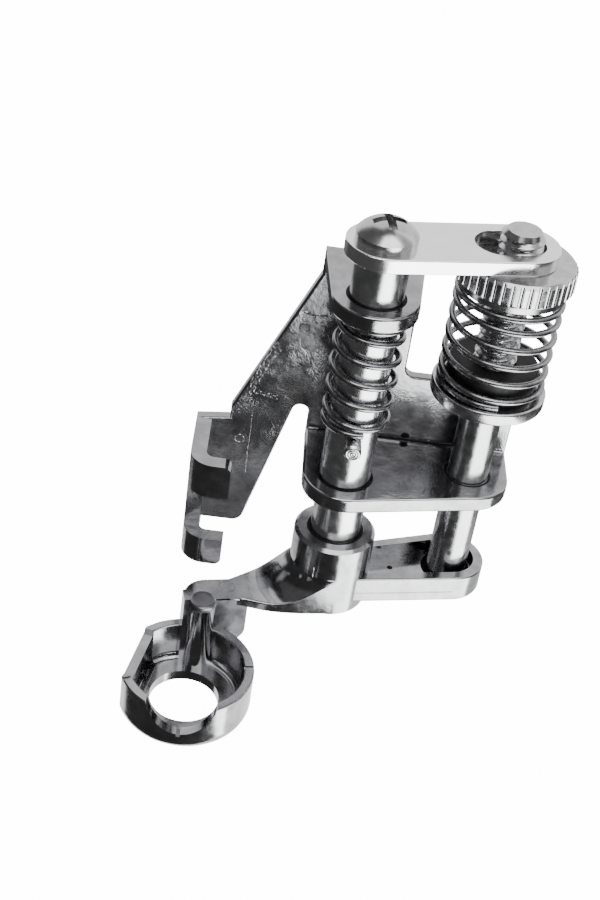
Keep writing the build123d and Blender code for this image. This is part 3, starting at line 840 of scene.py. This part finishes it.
@dataclass
class CoilSpring:
    """A left-hand compression spring of round wire with one closed turn at each end; sizes in millimetres.

    The axis, the ends and the radius are in metres.
    """

    node: str
    wire: float
    turns: float
    end_angle: float
    closed_pitch: float = 1.1
    sections: int = 72
    around: int = 18
    seat: np.ndarray = field(init=False)
    low: float = field(init=False)
    high: float = field(init=False)
    radius: float = field(init=False)

    def __post_init__(self) -> None:
        """Takes the axis, ends and radius from the solid that the spring stands for."""
        low, high = (np.array(corner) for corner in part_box(self.node))
        self.seat = (low + high)[:2] / 2
        self.low, self.high = float(low[2]), float(high[2])
        self.radius = float((high - low)[:2].max()) / 2 - self.wire * MM / 2

    @property
    def last_turn(self) -> float:
        """The turn number of the wire's upper end: the open turns and the two closed ones."""
        return self.turns + 2.0

    def centre_line(self, first: float, last: float) -> np.ndarray:
        """Points along the wire between two turn numbers.

        The wire goes round the axis at a fixed radius, one turn clockwise for each unit of the turn number.
        Its height grows by the closed pitch over the first and last turn and by the open pitch between them.

        Args:
            first: the turn number where the line starts.
            last: the turn number where it ends.

        Returns:
            An array of points by 3.
        """
        wire = self.wire * MM
        closed = wire * self.closed_pitch
        pitch = (self.high - self.low - wire - 2.0 * closed) / self.turns
        turn = np.linspace(first, last, max(2, round((last - first) * self.sections)))
        opened = np.clip(turn - 1.0, 0.0, self.turns)
        angle = math.radians(self.end_angle) - math.tau * turn
        height = self.low + wire / 2 + closed * (turn - opened) + pitch * opened
        return np.stack([self.seat[0] + self.radius * np.cos(angle),
                         self.seat[1] + self.radius * np.sin(angle), height], axis=-1)

    def tube(self, first: float, last: float) -> tuple[np.ndarray, list]:
        """The round wire between two turn numbers.

        Each ring is a circle of the wire's radius, spanned by the direction out from the axis and the cross
        product of that direction with the wire's own.

        Args:
            first: the turn number where the wire starts.
            last: the turn number where it ends.

        Returns:
            The vertices and the faces.
        """
        line = self.centre_line(first, last)
        along = np.gradient(line, axis=0)
        along /= np.linalg.norm(along, axis=1, keepdims=True)
        out = line - np.array([self.seat[0], self.seat[1], 0.0])
        out[:, 2] = 0.0
        out /= np.linalg.norm(out, axis=1, keepdims=True)
        across = np.cross(along, out)
        spin = np.linspace(0.0, math.tau, self.around, endpoint=False)
        ring = np.cos(spin)[:, None] * out[:, None, :] + np.sin(spin)[:, None] * across[:, None, :]
        rings = line[:, None, :] + ring * (self.wire * MM / 2)
        return capped_tube(rings, line[0], line[-1])

    def point(self, height: float) -> Triple:
        """The point on the spring's axis at a height in metres."""
        return (float(self.seat[0]), float(self.seat[1]), height)


@dataclass
class HeightSetter:
    """The fixed stud with its collar and thread, and the spring of the knurled nut; sizes in millimetres.

    The thread fades in and out between two distances, from the collar and from the tip. Its crests and roots
    are flat over a share of its depth.
    """

    pitch: float = 0.7
    pitch_steps: int = 12
    thread_depth: float = 0.36
    thread_flat: float = 0.1
    thread_start: Pair = (0.2, 0.7)
    thread_end: Pair = (0.5, 0.3)
    shank_radius: float = 1.95
    tip_chamfer: float = 0.45
    collar_radius: float = 5.25
    collar_bottom: float = 31.15
    collar_top: float = 32.4
    collar_edge: float = 0.22
    edge_steps: int = 6
    around: int = 72

    def profile(self, low: float, high: float) -> np.ndarray:
        """The stud's half outline from its lower end to its tip, as radius and height in millimetres.

        Args:
            low: the stud's lower end.
            high: the stud's tip.

        Returns:
            An array of points by 2.
        """
        edge, bend = self.collar_edge, np.linspace(0.0, math.pi / 2, self.edge_steps)
        under = np.stack([self.collar_radius - edge + edge * np.sin(bend),
                          self.collar_bottom + edge - edge * np.cos(bend)], axis=-1)
        over = np.stack([self.collar_radius - edge + edge * np.cos(bend),
                         self.collar_top - edge + edge * np.sin(bend)], axis=-1)
        cut = np.arange(self.collar_top, high - self.tip_chamfer, self.pitch / self.pitch_steps)
        foot = [[self.shank_radius - self.tip_chamfer, low], [self.shank_radius, low + self.tip_chamfer],
                [self.shank_radius, self.collar_bottom]]
        screw = np.stack([np.full(len(cut), self.shank_radius), cut], axis=-1)
        tip = [[self.shank_radius, high - self.tip_chamfer], [self.shank_radius - self.tip_chamfer, high]]
        return np.vstack([foot, under, over, screw, tip])

    def build_stud(self, material: bpy.types.Material) -> bpy.types.Object:
        """Builds the stud: its outline turned about the axis, with a right-hand thread cut above the collar.

        The thread takes away depth times a triangle wave of (height / pitch - turn), which fades out near the
        collar and at the tip.

        Args:
            material: the material of the stud.

        Returns:
            The stud.
        """
        low, high = (np.array(corner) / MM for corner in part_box("height_stud"))
        centre = (low + high)[:2] / 2
        outline = self.profile(low[2], high[2])
        angle = np.linspace(0.0, math.tau, self.around, endpoint=False)
        height = np.repeat(outline[:, 1:], self.around, axis=1)
        wave = np.abs(2.0 * np.mod(height / self.pitch - angle / math.tau, 1.0) - 1.0)
        wave = np.clip((1.0 + 2.0 * self.thread_flat) * wave - self.thread_flat, 0.0, 1.0)
        fade = smoothstep(height, *(self.collar_top + above for above in self.thread_start))
        fade *= 1.0 - smoothstep(height, *(high[2] - below for below in self.thread_end))
        on_shank = outline[:, :1] <= self.shank_radius
        radius = outline[:, :1] - np.where(on_shank, self.thread_depth * fade * wave, 0.0)
        rings = np.stack([centre[0] + radius * np.cos(angle), centre[1] + radius * np.sin(angle), height],
                         axis=-1)
        bottom, top = (np.array([*centre, end]) * MM for end in (low[2], high[2]))
        points, faces = capped_tube(rings * MM, bottom, top)
        stud = add_piece("threaded_stud", points, faces, material)
        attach(stud, "bracket")
        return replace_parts(stud, "height_stud")

    def build_spring(self, material: bpy.types.Material) -> bpy.types.Object:
        """Builds the wide spring, from the collar up to the nut.

        Args:
            material: the material of the wire.

        Returns:
            The spring.
        """
        coil = CoilSpring("nut_spring", wire=0.6, turns=4.6, end_angle=-85.0)
        points, faces = coil.tube(0.0, coil.last_turn)
        spring = add_piece("nut_spring_wire", points, faces, material)
        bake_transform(spring)
        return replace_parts(spring, "nut_spring")


@dataclass
class PresserRod:
    """The turning rings on the end of the rod's cross pin, in millimetres, and the spring above it."""

    split_share: float = 0.62
    pin_rings: tuple[float, ...] = (0.12, 0.34, 0.56)
    ring_bead: Bead = Bead(width=0.22, height=0.05)

    def build_pin_end(self, material: bpy.types.Material) -> bpy.types.Object:
        """Builds the rings that the lathe left on the front end of the cross pin.

        Args:
            material: the material of the pin.

        Returns:
            The rings.
        """
        low, high = (np.array(corner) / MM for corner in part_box("spring_pin"))
        centre = (low + high) / 2
        centre[1] = low[1]
        parts = [ridge(circle(centre, FRONT, radius), FRONT, self.ring_bead, closed=True)
                 for radius in self.pin_rings]
        points, faces = merged(parts)
        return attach(add_piece("pin_end", points, faces, material), "foot")

    def build_spring(self, material: bpy.types.Material) -> list[bpy.types.Object]:
        """Builds the rod's spring in two lengths of wire that meet end to end.

        Args:
            material: the material of the wire.

        Returns:
            The two lengths.
        """
        coil = CoilSpring("presser_spring", wire=0.6, turns=4.3, end_angle=-75.0)
        split = coil.last_turn * self.split_share
        points, faces = coil.tube(0.0, split)
        lower = add_piece("rod_spring_lower", points, faces, material)
        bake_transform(lower)
        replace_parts(lower, "presser_spring")
        points, faces = coil.tube(split, coil.last_turn)
        upper = add_piece("rod_spring_upper", points, faces, material)
        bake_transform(upper)
        return [lower, upper]


@dataclass(frozen=True)
class SoftBox:
    """One soft patch of light far off, between compass bearings and heights; angles in degrees.

    A bearing of 0 is in front of the foot, and bearings grow towards its right.
    """

    bearing: float
    half_width: float
    low: float
    high: float
    strength: float
    soft: float

    def glow(self, wiring: Wiring, toward: bpy.types.NodeSocket) -> bpy.types.NodeSocket:
        """Adds the patch: full inside its edges, and falling smoothly to nothing over the soft angle.

        Args:
            wiring: the world's nodes.
            toward: the direction that is looked in.

        Returns:
            The brightness in that direction.
        """
        turn = math.radians(self.bearing)
        level = wiring.vector("MULTIPLY", toward, (1.0, 1.0, 0.0))["Vector"]
        unit = wiring.vector("NORMALIZE", level)["Vector"]
        side = wiring.vector("DOT_PRODUCT", unit, (math.sin(turn), -math.cos(turn), 0.0))["Value"]
        height = wiring.axis(toward, "Z")
        edges = ((side, self._cos(self.half_width + self.soft), self._cos(self.half_width)),
                 (height, self._sin(self.low - self.soft), self._sin(self.low)),
                 (height, self._sin(self.high + self.soft), self._sin(self.high)))
        glow = self.strength
        for value, dark, full in edges:
            glow = wiring.combine("MULTIPLY", wiring.map_range(value, (dark, full), smooth=True), glow)
        return glow

    @staticmethod
    def _cos(angle: float) -> float:
        """The cosine of an angle in degrees, held past the half circle."""
        return math.cos(math.radians(min(angle, 180.0)))

    @staticmethod
    def _sin(angle: float) -> float:
        """The sine of a height in degrees, carried on in a line past straight up or down."""
        over = max(abs(angle) - 90.0, 0.0)
        return math.copysign(math.sin(math.radians(min(abs(angle), 90.0))) + over / 90.0, angle)


BENCH = SoftBox(bearing=154.0, half_width=84.0, low=-90.0, high=-45.0, strength=2.5, soft=10.0)
BACK_WALL = SoftBox(bearing=166.0, half_width=52.0, low=-14.0, high=66.0, strength=1.4, soft=16.0)
FRONT_LAMP = SoftBox(bearing=18.0, half_width=40.0, low=44.0, high=74.0, strength=4.0, soft=10.0)
CEILING = SoftBox(bearing=0.0, half_width=180.0, low=66.0, high=90.0, strength=0.8, soft=14.0)
LEFT_WALL = SoftBox(bearing=-80.0, half_width=60.0, low=24.0, high=66.0, strength=0.10, soft=12.0)
RIGHT_WALL = SoftBox(bearing=86.0, half_width=26.0, low=14.0, high=66.0, strength=0.7, soft=12.0)


@dataclass
class Studio:
    """The pale floor, the soft light and the camera.

    Lengths are in metres, the film's height in millimetres and angles in degrees.
    """

    room: float = 0.06
    boxes: tuple[SoftBox, ...] = (BENCH, BACK_WALL, FRONT_LAMP, CEILING, LEFT_WALL, RIGHT_WALL)
    card_middle: Triple = (0.0704, -0.0336, -0.0323)
    card_size: Pair = (0.131, 0.060)
    card_bearing: float = 30.1
    card_lean: float = 45.0
    card_glow: float = 8.0
    light_tint: Triple = (0.985, 1.0, 0.992)
    floor_radius: float = 1.5
    floor_middle: float = 1e-4
    floor_points: int = 96
    floor_rings: int = 12
    floor_drop: float = 0.003
    paper: float = 14.0
    paper_white: float = 0.9
    paper_roughness: float = 0.9
    eye: Triple = (0.00246, -0.1019, 0.1048)
    look: Triple = (0.039, 0.811, -0.584)
    roll: float = 8.85
    film_height: float = 24.0
    focal_share: float = 1500.0 / 900.0
    nearest: float = 0.002
    farthest: float = 20.0

    def build_floor(self) -> bpy.types.Object:
        """Builds the floor: a disc as a function of radius and angle, lit evenly so that it reads as paper.

        Returns:
            The floor.
        """
        angle = np.linspace(0.0, math.tau, self.floor_points, endpoint=False)[:, None]
        radius = np.linspace(self.floor_radius, self.floor_middle, self.floor_rings)
        size = (self.floor_points, self.floor_rings)
        drop = np.full(size, -self.floor_drop)
        spread = np.stack([radius * np.cos(angle), radius * np.sin(angle), drop], axis=-1)
        mesh = bpy.data.meshes.new("paper_floor")
        mesh.from_pydata(spread.reshape(-1, 3).tolist(), [], grid_faces(*size, True).tolist())
        paper = bpy.data.materials.new("paper_floor")
        paper.use_nodes = True
        shader = paper.node_tree.nodes["Principled BSDF"]
        shader.inputs["Base Color"].default_value = (*(self.paper_white,) * 3, 1.0)
        shader.inputs["Roughness"].default_value = self.paper_roughness
        shader.inputs["Emission Color"].default_value = (*self.light_tint, 1.0)
        shader.inputs["Emission Strength"].default_value = self.paper
        mesh.materials.append(paper)
        floor = bpy.data.objects.new("paper_floor", mesh)
        bpy.context.scene.collection.objects.link(floor)
        floor.visible_glossy = False
        floor.visible_diffuse = False
        floor.visible_shadow = False
        return floor

    def build_light(self) -> bpy.types.World:
        """Builds the soft light as the sum of the studio's soft boxes over a dim room.

        The camera itself sees plain white paper all round.

        Returns:
            The world.
        """
        world = bpy.data.worlds.new("soft_studio")
        world.use_nodes = True
        nodes, links = world.node_tree.nodes, world.node_tree.links
        wiring = Wiring(nodes, links)
        toward = nodes.new("ShaderNodeTexCoord").outputs["Generated"]
        total = self.room
        for box in self.boxes:
            total = wiring.combine("ADD", total, box.glow(wiring, toward))
        background = nodes["Background"]
        background.inputs["Color"].default_value = (1.0, 1.0, 1.0, 1.0)
        seen = nodes.new("ShaderNodeLightPath").outputs["Is Camera Ray"]
        swap = nodes.new("ShaderNodeMix")
        # On a mix of numbers, input 0 is the share, 2 the first number and 3 the second.
        links.new(seen, swap.inputs[0])
        links.new(total, swap.inputs[2])
        swap.inputs[3].default_value = self.paper
        links.new(swap.outputs[0], background.inputs["Strength"])
        bpy.context.scene.world = world
        return world

    def build_card(self) -> bpy.types.Object:
        """Builds the lit card in front of the foot on its right: a soft light that leans over to the right.

        Its long edge is turned by the bearing and tipped by the lean, and its power is the glow times pi
        times its area.

        Returns:
            The light.
        """
        turn, lean = math.radians(self.card_bearing), math.radians(self.card_lean)
        along = np.array([math.cos(turn), math.sin(turn), 0.0])
        edge = math.cos(lean) * along - math.sin(lean) * UP
        away = np.array([math.sin(turn), -math.cos(turn), 0.0])
        light = bpy.data.lights.new("light_card", "AREA")
        light.shape = "RECTANGLE"
        light.size, light.size_y = self.card_size
        light.energy = self.card_glow * math.pi * self.card_size[0] * self.card_size[1]
        light.color = self.light_tint
        return self.placed("light_card", light, (edge, np.cross(away, edge), away, self.card_middle))

    def build_camera(self) -> bpy.types.Object:
        """Builds the camera at the photograph's place, tilt and lens.

        The view's right is turned by the roll about the line of sight, and the lens is the focal length over
        the picture's height.

        Returns:
            The camera.
        """
        ahead = np.array(self.look) / np.linalg.norm(self.look)
        level = np.cross(ahead, UP)
        level /= np.linalg.norm(level)
        upright = np.cross(level, ahead)
        lean = math.radians(self.roll)
        right = math.cos(lean) * level + math.sin(lean) * upright
        lens = bpy.data.cameras.new("camera")
        lens.sensor_fit = "VERTICAL"
        lens.sensor_height = self.film_height
        lens.lens = self.film_height * self.focal_share
        lens.clip_start = self.nearest
        lens.clip_end = self.farthest
        camera = self.placed("camera", lens, (right, np.cross(right, ahead), -ahead, self.eye))
        bpy.context.scene.camera = camera
        return camera

    @staticmethod
    def placed(name: str, data: bpy.types.ID, columns: tuple) -> bpy.types.Object:
        """Puts a light or a camera into the scene.

        Args:
            name: the object's name.
            data: the light or the camera.
            columns: the directions of its X, Y and Z axes, and its place.

        Returns:
            The object.
        """
        pose = np.eye(4)
        pose[:3] = np.stack(columns, axis=-1)
        made = bpy.data.objects.new(name, data)
        made.matrix_world = pose.T.tolist()
        bpy.context.scene.collection.objects.link(made)
        return made


def dress(nodes: dict[str, bpy.types.Object], materials: dict[str, bpy.types.Material]) -> None:
    """Gives CAD solids a finish.

    Args:
        nodes: the solids by name.
        materials: the finish's material for each solid that stays in view.
    """
    for name, material in materials.items():
        nodes[name].data.materials.clear()
        nodes[name].data.materials.append(material)
        LOG.info("%s: %s", name, material.name)


def main() -> None:
    """Builds the studio and the pieces in order."""
    logging.basicConfig(level=logging.INFO, format="%(name)s %(message)s")
    studio = Studio()
    studio.build_camera()
    studio.build_light()
    studio.build_card()
    studio.build_floor()
    # The last finish is painted shade for the gaps, the shelf's corner and the dimples.
    finishes = (BRACKET_CHROME, FOOT_CHROME, FOOT_CAST, ROD_CHROME, NUT_CHROME, PLATE_CHROME, WIRE_STEEL,
                RUBBER, PAINTED_SHADE)
    hook, cast, skin, rod, knob, plate, wire, rubber, gap_shade = (finish.material() for finish in finishes)
    dress(frame["nodes"], {"mounting_bracket": hook, "quilting_foot": cast, "presser_rod": rod,
                           "spring_pin": rod, "height_nut": knob, "link_screw": knob, "link_plate": plate,
                           "foot_set_screw": wire, "spring_bushing": rubber})
    bracket = Bracket()
    bracket.build_marks(cast)
    bracket.build_painted_shade(gap_shade)
    foot = Foot()
    foot.build_flare(cast)
    foot.build_post(skin)
    foot.build_marks(cast)
    foot.build_painted_shade(gap_shade)
    setter = HeightSetter()
    setter.build_stud(knob)
    setter.build_spring(wire)
    slider = PresserRod()
    slider.build_pin_end(rod)
    slider.build_spring(wire)
    bpy.context.view_layer.update()


if __name__ == "__main__":
    main()
